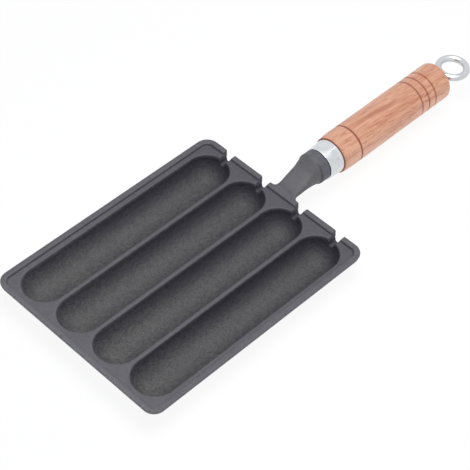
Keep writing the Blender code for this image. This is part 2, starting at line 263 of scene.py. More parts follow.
WOOD_ROUGHNESS_RANGE = (0.3, 0.7, 0.40, 0.52)
PORE_HEIGHT_SHARE = -0.6
WOOD_BUMP = (0.00012, 0.35)
WOOD_SHEEN = {"Sheen Weight": 0.25, "Sheen Roughness": 0.4}

# Darker streaks in the wood: angle from the top in degrees, distance from the grip's end, width,
# length, lean towards +X in radians, and how dark each is
WOOD_STREAKS = (
    (8, 0.0700, 0.0056, 0.0800, 0.15, 0.65),
    (30, 0.0460, 0.0060, 0.0240, 0.10, 0.40),
    (42, 0.0730, 0.0018, 0.0180, 0.04, 0.50),
    (52, 0.0258, 0.0021, 0.0105, 0.02, 0.90),
)

# Scorched grooves: how far the scorch runs past an edge, and how dark each place is
SCORCH_SPREAD = 0.0006
SHOULDER_SCORCH = 0.40
GROOVE_EDGE_SCORCH = 0.60
FRONT_SCORCH = 1.0
REAR_SCORCH = 0.70
FRONT_EDGE_SCORCH = 0.85

# Looks of the ferrule, with one dull mark, and of the rod
FERRULE_LINE_SCALE = (0.02, 1, 0.02)
FERRULE_LINES = (4200, 4, 0.6)
FERRULE_HAZE = (130, 4, 0.6)
FERRULE_COLOURS = ((0.60, 0.62, 0.645, 1), (0.72, 0.74, 0.755, 1))
FERRULE_ROUGHNESS = (0.15, 0.25)
FERRULE_BUMP = (0.00002, 0.25)
MARK_ANGLE = math.radians(53)
MARK_PLACE = 0.0082
MARK_SIZE = 0.0032
MARK_STRENGTH = 0.35
MARK_COLOUR = (0.38, 0.35, 0.40, 1)
STEEL_HAZE = (240, 4, 0.6)
STEEL_COLOURS = ((0.52, 0.53, 0.56, 1), (0.66, 0.67, 0.69, 1))
STEEL_ROUGHNESS = (0.20, 0.30)
STEEL_RIPPLE = (700, 3)
STEEL_BUMP = (0.00003, 0.2)

# Floor and world: what each reflects and gives off where it is seen, and for light that is scattered
FLOOR_SIZE = 6.0
FLOOR_SEEN_GREY = 0.10
FLOOR_SEEN_GLOW = 0.92
FLOOR_GREY = 0.80
FLOOR_GLOW = 0.65
WORLD_SEEN_STRENGTH = 1.0
WORLD_COLOUR = (0.66, 0.70, 1.0, 1)
WORLD_STRENGTH = 0.12

# Lamps, each with the direction that it stands in
KEY_LIGHT = {
    "name": "key",
    "toward": (0.07, 0.0, 1.0),
    "distance": 1.0,
    "size": (0.6, 0.6),
    "watts": 8.3,
}
STRIP_LIGHT = {
    "name": "strip",
    "toward": (0.10, 0.50, 0.86),
    "distance": 1.5,
    "size": (0.025, 0.5),
    "watts": 0.12,
}

# Camera
CAMERA_AZIMUTH = math.radians(41.943)
CAMERA_ELEVATION = math.radians(48.205)
CAMERA_ROLL = math.radians(3.690)
CAMERA_DISTANCE = 1.16433
CAMERA_TARGET_X = 0.00340
CAMERA_TARGET_Y = -0.05191
CAMERA_LENS = 128.84

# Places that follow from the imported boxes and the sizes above
pan_low, pan_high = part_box("pan_casting")
ferrule_low, ferrule_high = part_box("ferrule")
grip_low, grip_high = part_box("handle_grip")
eye_low, eye_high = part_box("eye_rod")
trough_pitch = TROUGH_WIDTH + WEB_WIDTH
pan_half_width = pan_high.x
pan_length = FRONT_MARGIN + TROUGH_LENGTH + BACK_MARGIN
land_z = TROUGH_DEPTH + SHELL_WALL - FOOT_CUT
rim_z = land_z + RIM_HEIGHT
plate_z = land_z - PLATE_THICKNESS
front_y = pan_low.y
back_y = front_y + pan_length
pan_y = (front_y + back_y) / 2
trough_y = front_y + FRONT_MARGIN + TROUGH_LENGTH / 2
stick_start_y = back_y - BACK_MARGIN - TROUGH_WIDTH / 4
collar_y = back_y + NECK_LENGTH
ferrule_y = ferrule_low.y - CLEARANCE
grip_y = ferrule_high.y + CLEARANCE
grip_end_y = grip_high.y
handle_z = (grip_low.z + grip_high.z) / 2
ferrule_rear_radius = ferrule_high.x
grip_radius = grip_high.x
rod_radius = (eye_high.z - eye_low.z) / 2
eye_radius = eye_high.x - rod_radius
eye_y = eye_high.y - eye_high.x


def mesh_object(name, bm):
    mesh = bpy.data.meshes.new(name)
    bm.to_mesh(mesh)
    bm.free()
    mesh.shade_smooth()
    mesh.set_sharp_from_angle(angle=SMOOTH_ANGLE)
    thing = bpy.data.objects.new(name, mesh)
    bpy.context.scene.collection.objects.link(thing)
    return thing


def applied(thing, name):
    """A new object that holds what another one's modifiers make. The other one is removed."""
    evaluated = thing.evaluated_get(bpy.context.evaluated_depsgraph_get())
    mesh = bpy.data.meshes.new_from_object(evaluated)
    mesh.name = name
    bpy.data.objects.remove(thing, do_unlink=True)
    made = bpy.data.objects.new(name, mesh)
    bpy.context.scene.collection.objects.link(made)
    return made


def cut_or_join(target, tools, operation):
    for tool in tools:
        modifier = target.modifiers.new(tool.name, "BOOLEAN")
        modifier.operation = operation
        modifier.solver = "EXACT"
        modifier.object = tool


def loft(name, loops):
    """A closed mesh through loops with as many points each. A loop may close to a line."""
    bm = bmesh.new()
    rings = [[bm.verts.new(point) for point in loop] for loop in loops]
    for lower, upper in zip(rings, rings[1:]):
        for i in range(len(lower)):
            j = (i + 1) % len(lower)
            bm.faces.new((lower[i], lower[j], upper[j], upper[i]))
    bm.faces.new(reversed(rings[0]))
    bm.faces.new(rings[-1])
    bmesh.ops.remove_doubles(bm, verts=bm.verts, dist=WELD)
    bmesh.ops.dissolve_degenerate(bm, edges=bm.edges, dist=WELD)
    bmesh.ops.recalc_face_normals(bm, faces=bm.faces)
    return mesh_object(name, bm)


def arc(centre, radius, start, end, steps):
    """Points on an arc in the plane of a profile, from one angle to another in degrees."""
    angles = [math.radians(start + (end - start) * i / steps) for i in range(steps + 1)]
    return [(centre[0] + radius * math.cos(a), centre[1] + radius * math.sin(a)) for a in angles]


def stadium(half_width, half_span, x, z):
    """An outline at one height: two half-circles joined by straight sides along Y."""
    points = []
    for side in (1, -1):
        for i in range(END_STEPS + 1):
            angle = math.pi * i / END_STEPS
            across = side * half_width * math.cos(angle)
            along = side * (half_span + half_width * math.sin(angle))
            points.append((x + across, trough_y + along, z))
    return points


def rounded_rectangle(inset, z):
    """The plate's outline at one height, drawn in by an inset from its widest line."""
    radius = CORNER_RADIUS - inset
    half_x = pan_half_width - inset - radius
    half_y = pan_length / 2 - inset - radius
    points = []
    for quarter, (side_x, side_y) in enumerate(((1, 1), (-1, 1), (-1, -1), (1, -1))):
        for i in range(CORNER_STEPS + 1):
            angle = math.pi / 2 * (quarter + i / CORNER_STEPS)
            x = side_x * half_x + radius * math.cos(angle)
            y = side_y * half_y + radius * math.sin(angle)
            points.append((x, pan_y + y, z))
    return points


def trough_places():
    middle = (TROUGH_COUNT - 1) / 2
    return [(i - middle) * trough_pitch for i in range(TROUGH_COUNT)]


def plate_blank():
    """The plate and its rim as one block: rounded lower edge, drafted wall, rounded upper edge."""
    lower = (PLATE_DRAFT + PLATE_EDGE_ROUND, plate_z + PLATE_EDGE_ROUND)
    upper = (RIM_EDGE_ROUND, rim_z - RIM_EDGE_ROUND)
    section = arc(lower, PLATE_EDGE_ROUND, 270, 180, ROUND_STEPS)
    section += arc(upper, RIM_EDGE_ROUND, 180, 90, ROUND_STEPS)
    return loft("casting_base", [rounded_rectangle(inset, z) for inset, z in section])


def pocket():
    """What is cut from the block to leave the rim standing above the land round the troughs."""
    inner = RIM_WIDTH - RIM_EDGE_ROUND
    section = [(RIM_WIDTH + RIM_INNER_DRAFT, land_z)]
    section += arc((inner, rim_z - RIM_EDGE_ROUND), RIM_EDGE_ROUND, 0, 90, ROUND_STEPS)
    section.append((inner, rim_z + OVERRUN))
    return loft("pocket", [rounded_rectangle(inset, z) for inset, z in section])


def trough_bulge(x):
    """The outside of one trough, below the plate. It closes to a line under the trough's middle."""
    half_span = (TROUGH_LENGTH - TROUGH_WIDTH) / 2
    half_width = TROUGH_WIDTH / 2 + SHELL_WALL
    depth = TROUGH_DEPTH + SHELL_WALL
    loops = [stadium(half_width, half_span, x, land_z - PLATE_THICKNESS / 2)]
    first = math.asin(PLATE_THICKNESS / depth)
    for i in range(WALL_STEPS + 1):
        angle = first + (math.pi / 2 - first) * i / WALL_STEPS
        loops.append(stadium(half_width * math.cos(angle), half_span, x, land_z - depth * math.sin(angle)))
    return loft("trough_bulge", loops)


def trough_hollow(x):
    """The inside of one trough, with the rounded edge where it meets the land."""
    half_span = (TROUGH_LENGTH - TROUGH_WIDTH) / 2
    half_width = TROUGH_WIDTH / 2
    mouth = half_width + TROUGH_EDGE_ROUND
    loops = [stadium(mouth, half_span, x, rim_z + OVERRUN)]
    for radius, drop in arc((mouth, -TROUGH_EDGE_ROUND), TROUGH_EDGE_ROUND, 90, 180, ROUND_STEPS):
        loops.append(stadium(radius, half_span, x, land_z + drop))
    first = math.asin(TROUGH_EDGE_ROUND / TROUGH_DEPTH)
    for i in range(1, WALL_STEPS + 1):
        angle = first + (math.pi / 2 - first) * i / WALL_STEPS
        radius = half_width * math.cos(angle)
        loops.append(stadium(radius, half_span, x, land_z - TROUGH_DEPTH * math.sin(angle)))
    return loft("trough_hollow", loops)


def notch_outline(x, offset, top_z, lean, y):
    """A round-bottomed V up to a height. lean moves each point back as it gets lower."""
    centre_z = rim_z - NOTCH_DEPTH + NOTCH_FLOOR_RADIUS
    radius = NOTCH_FLOOR_RADIUS + offset
    tangent_z = centre_z - radius * math.sin(NOTCH_FLANK_ANGLE)
    top_x = radius * math.cos(NOTCH_FLANK_ANGLE) + (top_z - tangent_z) * math.tan(NOTCH_FLANK_ANGLE)
    flank = math.degrees(NOTCH_FLANK_ANGLE)
    outline = [(-top_x, top_z), *arc((0, centre_z), radius, 180 + flank, 360 - flank, NOTCH_STEPS)]
    outline.append((top_x, top_z))
    return [(x + across, y - lean * (rim_z - z), z) for across, z in outline]


def stick_channel(x):
    """The boss under the plate that carries one stick notch from its trough to the back edge."""
    top_z = land_z - PLATE_THICKNESS / 2
    lean = PLATE_DRAFT / (PLATE_THICKNESS + RIM_HEIGHT)
    ends = ((0, stick_start_y), (lean, back_y - RIM_EDGE_ROUND))
    return loft("stick_channel", [notch_outline(x, CHANNEL_WALL, top_z, tilt, y) for tilt, y in ends])


def stick_notch(x):
    """The cut through the rim that the stick lies in."""
    ends = (stick_start_y, back_y + OVERRUN)
    return loft("stick_notch", [notch_outline(x, 0, rim_z + OVERRUN, 0, y) for y in ends])


def neck_section(y, half_width, top, bottom, power):
    """A rounded outline across the handle, as an ellipse raised to a power."""
    middle = (top + bottom) / 2
    half_height = (top - bottom) / 2
    points = []
    for i in range(NECK_STEPS):
        angle = 2 * math.pi * (i + 0.5) / NECK_STEPS
        cosine, sine = math.cos(angle), math.sin(angle)
        across = math.copysign(abs(cosine) ** (2 / power), cosine) * half_width
        up = math.copysign(abs(sine) ** (2 / power), sine) * half_height
        points.append((across, y, middle + up))
    return points


def round_section(y, radius, rise):
    return neck_section(y, radius, handle_z + rise + radius, handle_z + rise - radius, 2.0)


def rows_between(rows, steps):
    """The rows with more rows between them, each column on a smooth curve through its values."""
    rows = [np.array(row) for row in rows]
    padded = [2 * rows[0] - rows[1], *rows, 2 * rows[-1] - rows[-2]]
    result = []
    for a, b, c, d in zip(padded, padded[1:], padded[2:], padded[3:]):
        for i in range(steps):
            t = i / steps
            bend = (2 * a - 5 * b + 4 * c - d) * t**2 + (3 * b - a - 3 * c + d) * t**3
            result.append(b + ((c - a) * t + bend) / 2)
    return result + [rows[-1]]


def neck():
    """The arm from the rim into the collar: flat on top at the rim, and nearly round at the collar."""
    top_rise = handle_z + COLLAR_RISE + COLLAR_RADIUS - rim_z
    bottom_drop = plate_z - (handle_z + COLLAR_RISE - COLLAR_RADIUS)
    loops = []
    for along, width, rise, drop, power in rows_between(NECK_SECTION_SHARES, NECK_ROWS_BETWEEN):
        top = rim_z + rise * top_rise
        bottom = plate_z - drop * bottom_drop
        loops.append(neck_section(back_y + along * NECK_LENGTH, width * COLLAR_RADIUS, top, bottom, power))
    return loft("neck", loops)


def collar():
    """The round collar, which stands a little proud of the arm, and the spigot inside the ferrule."""
    front = (collar_y + COLLAR_FRONT_ROUND, COLLAR_RADIUS - COLLAR_FRONT_ROUND)
    rear = (ferrule_y - COLLAR_REAR_ROUND, COLLAR_RADIUS - COLLAR_REAR_ROUND)
    front_section = arc(front, COLLAR_FRONT_ROUND, 180, 90, ROUND_STEPS)
    rear_section = arc(rear, COLLAR_REAR_ROUND, 90, 0, ROUND_STEPS)
    loops = [round_section(y, radius, COLLAR_RISE) for y, radius in front_section]
    loops += [round_section(y, radius, COLLAR_RISE / 2) for y, radius in rear_section]
    loops.append(round_section(ferrule_y, SPIGOT_RADIUS, 0))
    loops.append(round_section(ferrule_y + SPIGOT_LENGTH, SPIGOT_RADIUS, 0))
    return loft("collar", loops)


def rod_hole():
    """The blind hole in the spigot and neck that takes the rod's end."""
    start = ferrule_y + SPIGOT_LENGTH + OVERRUN
    end = ferrule_y + SPIGOT_LENGTH - ROD_HOLE_DEPTH
    return loft("rod_hole", [round_section(y, rod_radius + CLEARANCE, 0) for y in (start, end)])


def foot_plane():
    """A block under the part. Its top grinds a narrow flat foot on each trough's underside."""
    depth = TROUGH_DEPTH + SHELL_WALL
    half_x, half_y = pan_half_width, pan_length / 2
    corners = ((-half_x, -half_y), (half_x, -half_y), (half_x, half_y), (-half_x, half_y))
    return loft("foot_plane", [[(x, pan_y + y, z) for x, y in corners] for z in (-depth, 0)])


def casting_base():
    base = plate_blank()
    places = trough_places()
    joined = [trough_bulge(x) for x in places] + [stick_channel(x) for x in places] + [neck(), collar()]
    cut = [pocket()] + [trough_hollow(x) for x in places] + [stick_notch(x) for x in places]
    cut += [foot_plane(), rod_hole()]
    cut_or_join(base, joined, "UNION")
    cut_or_join(base, cut, "DIFFERENCE")
    made = applied(base, "cast_pan")
    for tool in joined + cut:
        bpy.data.objects.remove(tool, do_unlink=True)
    return made


def mesh_arrays(mesh):
    points = np.empty(len(mesh.vertices) * 3)
    mesh.vertices.foreach_get("co", points)
    normals = np.empty(len(mesh.vertices) * 3)
    mesh.vertices.foreach_get("normal", normals)
    edges = np.empty(len(mesh.edges) * 2, int)
    mesh.edges.foreach_get("vertices", edges)
    return points.reshape(-1, 3), normals.reshape(-1, 3), edges.reshape(-1, 2)


def neighbour_mean(values, edges):
    """The mean over each point's neighbours of one or more columns of values."""
    total = np.zeros_like(values)
    count = np.bincount(edges.ravel(), minlength=len(values)).astype(float)
    for start, end in ((0, 1), (1, 0)):
        for column in range(values.shape[1]):
            total[:, column] += np.bincount(edges[:, start], values[edges[:, end], column], len(values))
    return total / np.maximum(count, 1)[:, None]


def ramp(values, low, high):
    share = np.clip((values - low) / (high - low), 0, 1)
    return share * share * (3 - 2 * share)


def unevenness(points, size, seed):
    """A smooth uneven field from -1 to 1 over points in space, as a sum of tilted waves."""
    random = np.random.default_rng(seed)
    directions = random.normal(size=(FIELD_WAVES, 3))
    directions /= np.linalg.norm(directions, axis=1)[:, None]
    scales = 2 * math.pi / size * random.uniform(*FIELD_SCALES, FIELD_WAVES)
    phases = random.uniform(0, 2 * math.pi, FIELD_WAVES)
    field = np.zeros(len(points))
    for direction, scale, phase in zip(directions, scales, phases):
        field += np.sin(points @ direction * scale + phase)
    return np.clip(field / FIELD_PEAK, -1, 1)


def soften_casting(mesh):
    """Rounds every edge a little and the underside's valleys more, then makes the skin uneven."""
    points, normals, edges = mesh_arrays(mesh)
    below = ramp(points[:, 2], plate_z + SOFTENING_FADE, plate_z - SOFTENING_FADE)
    on_pan = ramp(points[:, 1], back_y + SOFTENING_FADE, back_y - SOFTENING_FADE)
    off_feet = ramp(points[:, 2], SOFTENING_FADE, 2 * SOFTENING_FADE)
    valleys = (below * on_pan * off_feet * (normals[:, 2] < 0))[:, None]
    for i in range(VALLEY_SOFTENING_ROUNDS):
        weight = SOFTENING if i < EDGE_SOFTENING_ROUNDS else SOFTENING * valleys
        points += (neighbour_mean(points, edges) - points) * weight
    wave = unevenness(points, WAVE_SIZE, WAVE_SEED) - 1
    grain = unevenness(points, GRAIN_SIZE, GRAIN_SEED) - 1
    sink = WAVE_DEPTH / 2 * wave + GRAIN_DEPTH / 2 * grain
    points += normals * (sink * off_feet)[:, None]
    mesh.vertices.foreach_set("co", points.ravel())
    mesh.update()


def mark_edges(mesh):
    """Stores how far each point stands out from its neighbours: 0 in hollows, 0.5 on flats, 1 on edges."""
    points, normals, edges = mesh_arrays(mesh)
    length = np.linalg.norm(points[edges[:, 0]] - points[edges[:, 1]], axis=1)
    total = np.bincount(edges.ravel(), np.repeat(length, 2), len(points))
    count = np.maximum(np.bincount(edges.ravel(), minlength=len(points)), 1)
    spacing = total / count
    height = ((points - neighbour_mean(points, edges)) * normals).sum(1)
    bend = (height / spacing**2)[:, None] * GRID_SIZE
    for _ in range(EDGE_BLUR_ROUNDS):
        bend = (bend + neighbour_mean(bend, edges)) / 2
    attribute = mesh.attributes.new("edge", "FLOAT", "POINT")
    attribute.data.foreach_set("value", np.clip(0.5 + bend[:, 0], 0, 1).astype(np.float32))


def make_casting(material):
    pan = casting_base()
    remesh = pan.modifiers.new("grid", "REMESH")
    remesh.mode = "VOXEL"
    remesh.voxel_size = GRID_SIZE
    pan = applied(pan, "cast_pan")
    soften_casting(pan.data)
    decimate = pan.modifiers.new("fewer", "DECIMATE")
    decimate.ratio = CASTING_TRIANGLES / (2 * len(pan.data.polygons))
    decimate.use_collapse_triangulate = True
    pan = applied(pan, "cast_pan")
    pan.data.shade_smooth()
    mark_edges(pan.data)
    finish_piece(pan, material, "pan_casting")


def turned(name, profile, scorches=None):
    """A closed solid of revolution about the handle's axis. A profile point is a radius and a place."""
    bm = bmesh.new()
    scorch = bm.verts.layers.float.new("scorch")
    rings = []
    for k, (radius, place) in enumerate(profile):
        ring = []
        for i in range(TURNED_STEPS):
            angle = 2 * math.pi * i / TURNED_STEPS
            point = (radius * math.sin(angle), place, handle_z + radius * math.cos(angle))
            vertex = bm.verts.new(point)
            vertex[scorch] = scorches[k] if scorches else 0
            ring.append(vertex)
        rings.append(ring)
    for first, second in zip(rings, rings[1:] + rings[:1]):
        for i in range(TURNED_STEPS):
            j = (i + 1) % TURNED_STEPS
            bm.faces.new((first[i], first[j], second[j], second[i]))
    bmesh.ops.recalc_face_normals(bm, faces=bm.faces)
    return mesh_object(name, bm)


def make_ferrule(material):
    """A tapered sleeve with its edges broken, between the collar and the wood."""
    start, end, edge = ferrule_low.y, ferrule_high.y, FERRULE_EDGE_ROUND
    slope = (ferrule_rear_radius - FERRULE_FRONT_RADIUS) / (end - start)
    profile = [(ferrule_rear_radius - FERRULE_WALL, end)]
    profile += arc((ferrule_rear_radius - edge, end - edge), edge, 90, 0, ROUND_STEPS)
    for i in range(1, TAPER_STEPS):
        place = end - edge - (end - start - 2 * edge) * i / TAPER_STEPS
        profile.append((FERRULE_FRONT_RADIUS + slope * (place - start), place))
    profile += arc((FERRULE_FRONT_RADIUS - edge, start + edge), edge, 0, -90, ROUND_STEPS)
    profile.append((FERRULE_FRONT_RADIUS - FERRULE_WALL, start))
    finish_piece(turned("ferrule_sleeve", profile), material, "ferrule")


def radius_along(along):
    """The grip's radius at a distance from its front: a short swelling taper, then straight."""
    share = max(0, 1 - along / GRIP_TAPER_LENGTH)
    return grip_radius - (grip_radius - GRIP_FRONT_RADIUS) * share**2


def grooves():
    """Each groove's distance from the grip's front, and how dark it is."""
    length = grip_end_y - grip_y
    rear = [length - REAR_GROOVE_PLACE - i * REAR_GROOVE_PITCH for i in range(REAR_GROOVE_COUNT)]
    return [(place, REAR_SCORCH) for place in rear] + [(FRONT_GROOVE_PLACE, FRONT_SCORCH)]


def groove(place, darkness):
    """A groove's profile from its rear edge to its front edge, and how scorched each point is."""
    half = GROOVE_WIDTH / 2
    rows = [
        (place + half + SCORCH_SPREAD, 0, 0),
        (place + half + SCORCH_SPREAD / 2, 0, SHOULDER_SCORCH),
    ]
    for i in range(GROOVE_STEPS + 1):
        share = i / GROOVE_STEPS
        swell = math.sin(math.pi * share)
        scorch = GROOVE_EDGE_SCORCH + (1 - GROOVE_EDGE_SCORCH) * swell
        rows.append((place + GROOVE_WIDTH * (0.5 - share), GROOVE_DEPTH * swell**GROOVE_FULLNESS, scorch))
    rows.append((place - half - SCORCH_SPREAD / 2, 0, SHOULDER_SCORCH))
    rows.append((place - half - SCORCH_SPREAD, 0, 0))
    points = [(radius_along(along) - depth, grip_y + along) for along, depth, scorch in rows]
    return points, [darkness * scorch for along, depth, scorch in rows]


def make_grip(material):
    """The turned wooden grip: rounded ends, scorched grooves, and a tenon inside the ferrule."""
    bore = rod_radius + CLEARANCE
    rear_centre = (grip_radius - GRIP_REAR_ROUND, grip_end_y - GRIP_REAR_ROUND)
    front_centre = (GRIP_FRONT_RADIUS - GRIP_FRONT_ROUND, grip_y + GRIP_FRONT_ROUND)
    profile = [(bore, grip_end_y)] + arc(rear_centre, GRIP_REAR_ROUND, 90, 0, 2 * ROUND_STEPS)
    scorches = [0] * len(profile)
    for place, darkness in grooves():
        points, marks = groove(place, darkness)
        profile += points
        scorches += marks
    for i in range(TAPER_STEPS):
        along = GRIP_TAPER_LENGTH * (1 - i / TAPER_STEPS)
        profile.append((radius_along(along), grip_y + along))
        scorches.append(0)
    front = arc(front_centre, GRIP_FRONT_ROUND, 0, -90, ROUND_STEPS)
    tenon_rear = ferrule_rear_radius - FERRULE_WALL - CLEARANCE
    tenon_front = FERRULE_FRONT_RADIUS - FERRULE_WALL - CLEARANCE
    profile += front + [(tenon_rear, grip_y), (tenon_front, grip_low.y), (bore, grip_low.y)]
    scorches += [FRONT_EDGE_SCORCH * (i + 1) / len(front) for i in range(len(front))]
    scorches += [FRONT_EDGE_SCORCH, 0, 0]
    grip = turned("wooden_grip", profile, scorches)
    finish_piece(grip, material, "handle_grip")


def make_eye(material):
    """One steel piece: the rod through the grip, and the closed eye that the pan hangs on."""
    bm = bmesh.new()
    circle = bmesh.ops.create_circle(bm, segments=ROD_STEPS, radius=rod_radius)["verts"]
    for vertex in circle:
        vertex.co = (eye_radius + vertex.co.x, 0, vertex.co.y)
    edges = list(bm.edges)
    bmesh.ops.spin(bm, geom=edges, cent=(0, 0, 0), axis=(0, 0, 1), angle=2 * math.pi, steps=EYE_STEPS)
    bmesh.ops.remove_doubles(bm, verts=bm.verts, dist=WELD)
    bmesh.ops.translate(bm, verts=bm.verts, vec=(0, eye_y, handle_z))
    bmesh.ops.recalc_face_normals(bm, faces=bm.faces)
    eye = mesh_object("eye_base", bm)
    seat_y = eye_y - eye_radius - rod_radius
    loops = [round_section(eye_low.y, rod_radius - ROD_TIP_CHAMFER, 0)]
    loops.append(round_section(eye_low.y + ROD_TIP_CHAMFER, rod_radius, 0))
    centre = (rod_radius + EYE_FILLET, seat_y - EYE_FILLET)
    flare = arc(centre, EYE_FILLET, 180, EYE_FILLET_END, 2 * ROUND_STEPS)
    loops += [round_section(place, radius, 0) for radius, place in flare]
    loops.append(round_section(eye_y - eye_radius, rod_radius, 0))
    shank = loft("shank", loops)
    cut_or_join(eye, [shank], "UNION")
    made = applied(eye, "eye_and_rod")
    bpy.data.objects.remove(shank, do_unlink=True)
    made.data.shade_smooth()
    made.data.set_sharp_from_angle(angle=SMOOTH_ANGLE)
    finish_piece(made, material, "eye_rod")


def finish_piece(piece, material, node_name):
    piece.data.materials.clear()
    piece.data.materials.append(material)
    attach(piece, "root")
    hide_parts(node_name)


def new_material(name):
    material = bpy.data.materials.new(name)
    material.use_nodes = True
    return material, material.node_tree, material.node_tree.nodes["Principled BSDF"]


def node(tree, kind, inputs=None, **settings):
    """A shader node. An input given as another node's socket is linked, and any other is a value."""
    made = tree.nodes.new(kind)
    for name, value in settings.items():
        setattr(made, name, value)
    set_inputs(tree, made, inputs or {})
    return made


def set_inputs(tree, made, inputs):
    for key, value in inputs.items():
        if isinstance(value, bpy.types.NodeSocket):
            tree.links.new(value, made.inputs[key])
        else:
            made.inputs[key].default_value = value


def object_place(tree):
    return node(tree, "ShaderNodeTexCoord").outputs["Object"]


def attribute(tree, name):
    return node(tree, "ShaderNodeAttribute", attribute_name=name).outputs["Fac"]


def mapped(tree, vector, **inputs):
    return node(tree, "ShaderNodeMapping", {"Vector": vector, **inputs}).outputs["Vector"]


def noise(tree, vector, scale, detail, roughness=0.5, distortion=0.0):
    inputs = {"Vector": vector, "Scale": scale, "Detail": detail, "Roughness": roughness}
    inputs["Distortion"] = distortion
    return node(tree, "ShaderNodeTexNoise", inputs).outputs["Fac"]


def spread(tree, value, low, high, to_low=0.0, to_high=1.0):
    inputs = {"Value": value, "From Min": low, "From Max": high, "To Min": to_low, "To Max": to_high}
    return node(tree, "ShaderNodeMapRange", inputs).outputs["Result"]


def calculate(tree, operation, first, second):
    return node(tree, "ShaderNodeMath", {0: first, 1: second}, operation=operation).outputs[0]


def product(tree, first, *others):
    for other in others:
        first = calculate(tree, "MULTIPLY", first, other)
    return first


def blend(tree, share, first, second, kind="MIX"):
    """Mixes two colours. The node's inputs 6 and 7 and its output 2 are the ones for colours."""
    inputs = {"Factor": share, 6: first, 7: second}
    return node(tree, "ShaderNodeMix", inputs, data_type="RGBA", blend_type=kind).outputs[2]


def layered(tree, colour, patterns, layers):
    """A colour with the layers of a table over it, each as strong as its pattern makes it."""
    for name, strengths, over in layers:
        colour = blend(tree, spread(tree, patterns[name], *strengths), colour, over)
    return colour


def bump(tree, height, distance, strength):
    inputs = {"Height": height, "Distance": distance, "Strength": strength}
    return node(tree, "ShaderNodeBump", inputs).outputs["Normal"]


def fleck(tree, place, angle, radius, along, width, length, lean=0.0):
    """1 in the middle of a streak on a round surface of the handle, and 0 round it."""
    centre = (radius * math.sin(angle), along, handle_z + radius * math.cos(angle))
    offset = node(tree, "ShaderNodeVectorMath", {0: place, 1: centre}, operation="SUBTRACT").outputs[0]
    offset = mapped(tree, offset, Rotation=(0, 0, lean))
    offset = mapped(tree, offset, Scale=(1, width / length, 1))
    distance = node(tree, "ShaderNodeVectorMath", {0: offset}, operation="LENGTH").outputs["Value"]
    return spread(tree, distance, width / 6, width / 2, 1.0, 0.0)


def trough_levels(shares):
    """Heights on a trough's wall, from shares of its depth."""
    return [land_z - share * TROUGH_DEPTH for share in shares]


def iron_masks(tree, y, z):
    """Where the finish of the land, of the rim's top and of the neck shows."""
    return {
        "land": spread(tree, z, land_z - SAND_FADE_START, land_z - SAND_FADE_END),
        "rim": spread(tree, z, land_z + RIM_FADE_START, rim_z - RIM_FADE_END),
        "neck": spread(tree, y, back_y, back_y + NECK_FADE, 0.0, NECK_STRENGTH),
    }


def plain_iron(tree, patterns, z, on_land):
    """The speckled troughs, with painted bluish shade up their walls, and the evener land, with faint
    blotches.
    """
    sand = product(tree, patterns["sand"], SAND_SHARE)
    clumps = product(tree, patterns["clumps"], 1 - SAND_SHARE)
    speckle = spread(tree, calculate(tree, "ADD", sand, clumps), *SPECKLE_RANGE)
    trough_colour = blend(tree, speckle, *TROUGH_COLOURS)
    land_colour = blend(tree, spread(tree, patterns["clumps"], *LAND_RANGE), *LAND_COLOURS)
    # Painted shade: bluer up the troughs' walls
    cool = spread(tree, z, *trough_levels(PAINTED_WALL_BLUE_SHARES))
    trough_colour = blend(tree, cool, trough_colour, PAINTED_WALL_BLUE, "MULTIPLY")
    colour = blend(tree, on_land, trough_colour, land_colour)
    return layered(tree, colour, patterns, IRON_LAYERS)


def neck_and_collar(tree, colour, clumps, x, y, on_neck):
    """The neck's lighter skin, the bluish mottled collar, and painted shade in the crease in front of it.
    """
    colour = blend(tree, on_neck, colour, blend(tree, clumps, *NECK_COLOURS))
    on_collar = spread(tree, y, collar_y, collar_y + COLLAR_FADE, 0.0, COLLAR_STRENGTH)
    on_collar = product(tree, on_collar, spread(tree, clumps, *COLLAR_MOTTLE_RANGE))
    colour = blend(tree, on_collar, colour, COLLAR_COLOUR)
    # Painted shade in the crease in front of the collar, stronger at the sides
    off_crease = calculate(tree, "SUBTRACT", y, collar_y + CREASE_PLACE)
    off_crease = calculate(tree, "ABSOLUTE", off_crease, 0)
    crease = spread(tree, off_crease, CREASE_CORE, CREASE_REACH, 1.0, 0.0)
    off_middle = calculate(tree, "ABSOLUTE", x, 0)
    side = spread(tree, off_middle, CREASE_SIDE_START, CREASE_SIDE_END, CREASE_TOP, CREASE_SIDE)
    return blend(tree, product(tree, crease, side), colour, CREASE_SHADE_COLOUR)


def shaded_and_darkened(tree, colour, y, z, masks):
    """Painted shade on the troughs' walls, from a little behind the front, and a darkening towards the
    handle, with little of it on the rim.
    """
    # Painted shade on the troughs' upper walls, none at the front
    walls = spread(tree, z, *trough_levels(PAINTED_WALL_SHADE_SHARES), 0.0, PAINTED_WALL_SHADE)
    off_land = spread(tree, masks["land"], 0, 1, 1.0, 0.0)
    walls = product(tree, walls, off_land, spread(tree, y, front_y + UNSHADED_FRONT, pan_y))
    # plus a darkening towards the handle
    shade_and_darkening = calculate(tree, "ADD", walls, spread(tree, y, front_y, back_y, 0.0, REAR_DARKENING))
    off_rim = spread(tree, masks["rim"], 0, 1, 1.0, RIM_DARKENING_SHARE)
    off_neck = spread(tree, masks["neck"], 0.0, NECK_STRENGTH, 1.0, 0.0)
    return blend(tree, product(tree, shade_and_darkening, off_rim, off_neck), colour, SHADE_AND_DARKENING_COLOUR)


